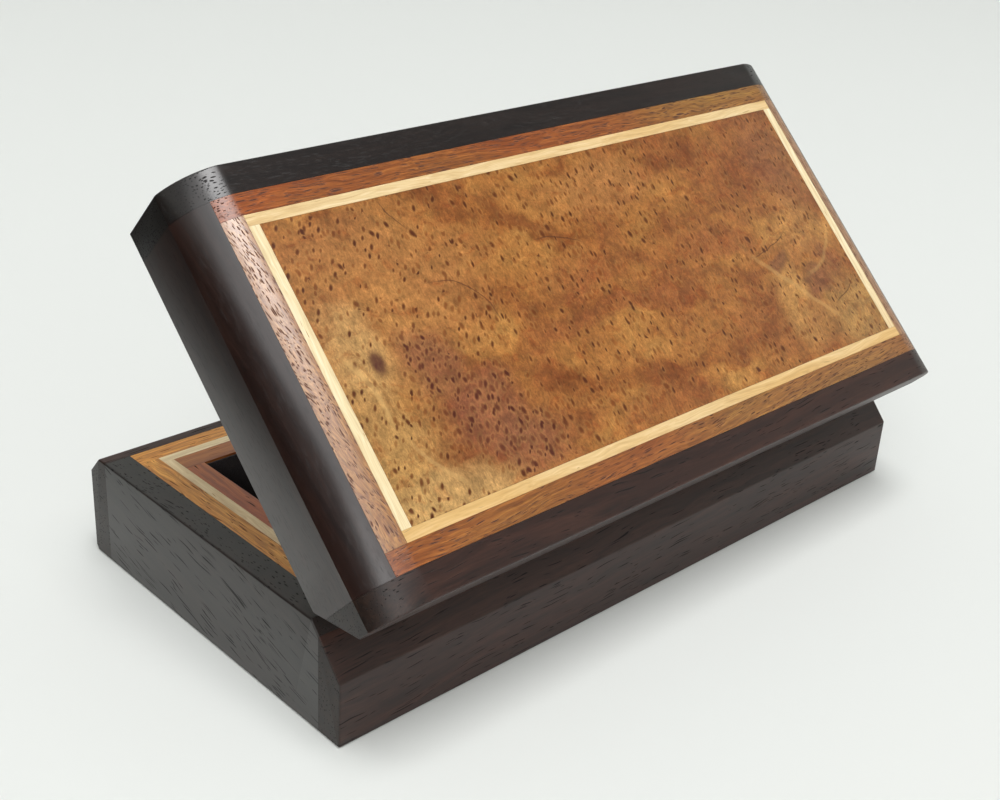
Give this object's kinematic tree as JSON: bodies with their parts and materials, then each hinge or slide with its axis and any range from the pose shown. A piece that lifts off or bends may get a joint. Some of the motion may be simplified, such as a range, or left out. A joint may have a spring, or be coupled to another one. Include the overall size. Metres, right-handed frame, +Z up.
{
  "type": "wooden money box",
  "caption": "Low rectangular wooden money box with banded walls, a flocked well and a thick burl-panelled lid hinged at the chamfered back.",
  "frame": {"origin": "middle of the base's underside", "axes": "+Z up, +X along the length, hinges at the back on +Y; the lid stands open at rest"},
  "size_m": [0.238, 0.1392, 0.1321],
  "materials": {
    "dark_wood": "satin oil",
    "band_wood": "satin oil",
    "line_wood": "satin oil",
    "inner_wood": "satin oil",
    "burl_wood": "satin oil",
    "bottom_wood": "sanded",
    "flocking": "flocked",
    "brass": "satin"
  },
  "bodies": {
    "base": {"base_front_board": "dark_wood", "base_back_board": "dark_wood", "base_left_board": "dark_wood", "base_right_board": "dark_wood", "base_front_band": "band_wood", "base_back_band": "band_wood", "base_left_band": "band_wood", "base_right_band": "band_wood", "base_front_line": "line_wood", "base_back_line": "line_wood", "base_left_line": "line_wood", "base_right_line": "line_wood", "base_front_inner_band": "inner_wood", "base_back_inner_band": "inner_wood", "base_left_inner_band": "inner_wood", "base_right_inner_band": "inner_wood", "base_bottom_panel": "bottom_wood", "base_floor_lining": "flocking", "base_front_lining": "flocking", "base_back_lining": "flocking", "base_left_lining": "flocking", "base_right_lining": "flocking", "hinge_left_base_leaf": "brass", "hinge_left_pin": "brass", "hinge_left_base_screw_1": "brass", "hinge_left_base_screw_2": "brass", "hinge_right_base_leaf": "brass", "hinge_right_pin": "brass", "hinge_right_base_screw_1": "brass", "hinge_right_base_screw_2": "brass"},
    "lid": {"lid_front_board": "dark_wood", "lid_back_board": "dark_wood", "lid_left_board": "dark_wood", "lid_right_board": "dark_wood", "lid_front_band": "band_wood", "lid_back_band": "band_wood", "lid_left_band": "band_wood", "lid_right_band": "band_wood", "lid_front_line": "line_wood", "lid_back_line": "line_wood", "lid_left_line": "line_wood", "lid_right_line": "line_wood", "lid_front_inner_band": "inner_wood", "lid_back_inner_band": "inner_wood", "lid_left_inner_band": "inner_wood", "lid_right_inner_band": "inner_wood", "lid_burl_panel": "burl_wood", "lid_lining": "flocking", "hinge_left_lid_leaf": "brass", "hinge_left_lid_screw_1": "brass", "hinge_left_lid_screw_2": "brass", "hinge_right_lid_leaf": "brass", "hinge_right_lid_screw_1": "brass", "hinge_right_lid_screw_2": "brass"}
  },
  "joints": [
    {"name": "lid_hinge", "type": "hinge", "parent": "base", "child": "lid", "pos_m": [0, 0.05174, 0.03305], "axis": [-1, 0, 0], "range_deg": [-43.6, 68]}
  ]
}
